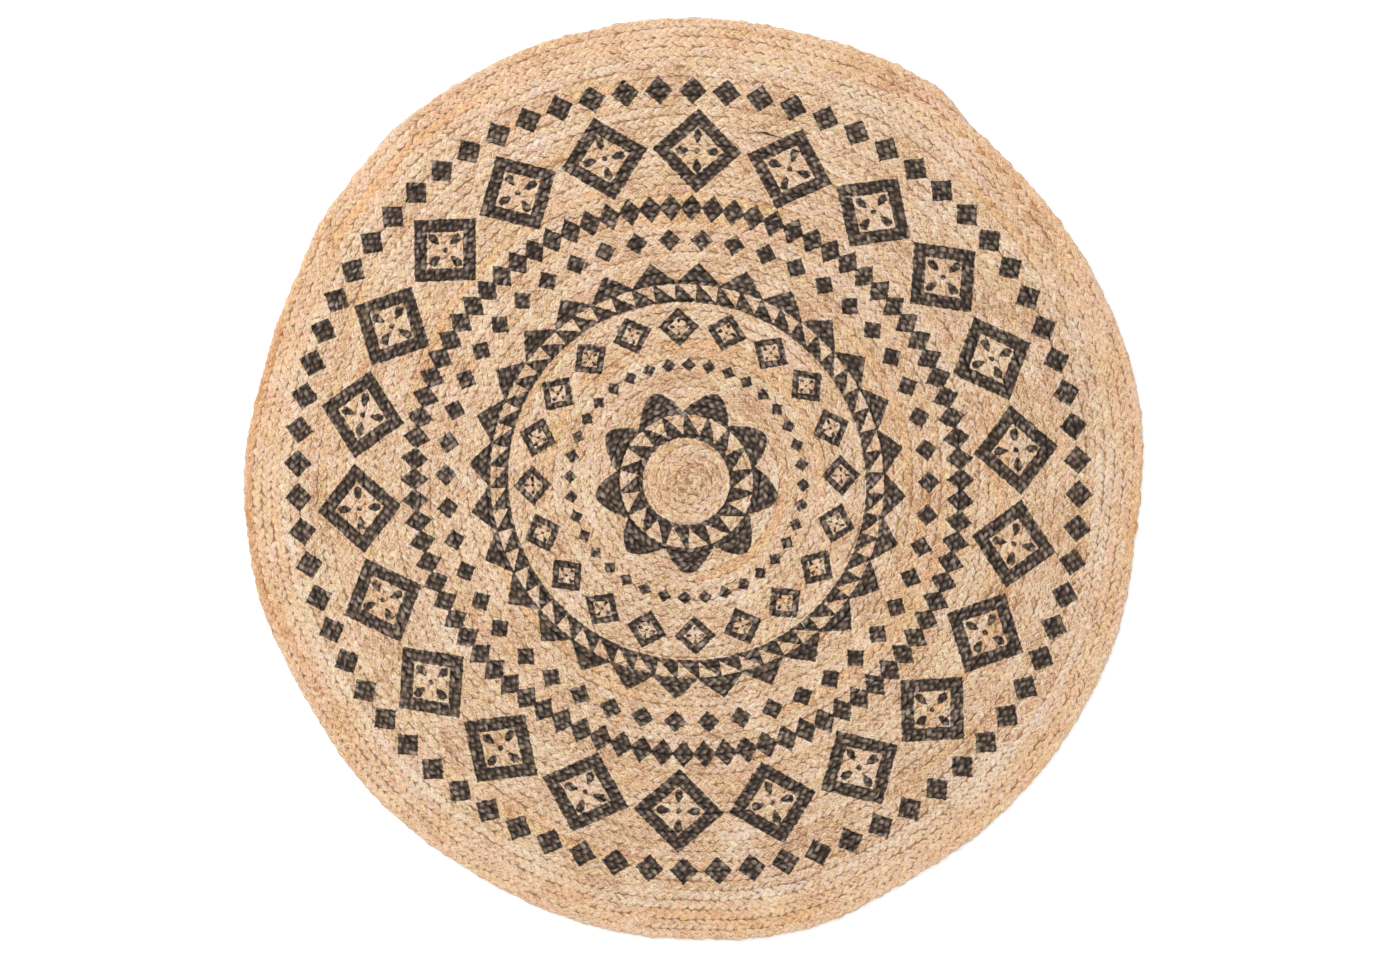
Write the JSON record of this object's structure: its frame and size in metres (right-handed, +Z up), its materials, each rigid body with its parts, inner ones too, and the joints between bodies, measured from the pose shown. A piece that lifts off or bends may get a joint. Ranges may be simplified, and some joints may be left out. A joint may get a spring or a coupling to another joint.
{
  "type": "round braided jute rug",
  "caption": "Flat round rug of plaited jute, coiled and sewn edge to edge, with an uneven rim and a dark geometric ring print on top.",
  "frame": {"origin": "on the floor, under the middle of the rug's outline", "axes": "+Z up out of the printed face; +Y towards twelve o'clock of the print; +X to the right of it"},
  "size_m": [1.1878, 1.2178, 0.008],
  "materials": {
    "jute": "dry, fibrous, matt jute with dark grey matt ink printed on the upper side"
  },
  "bodies": {
    "root": {"coiled_braid": "jute"}
  },
  "joints": []
}
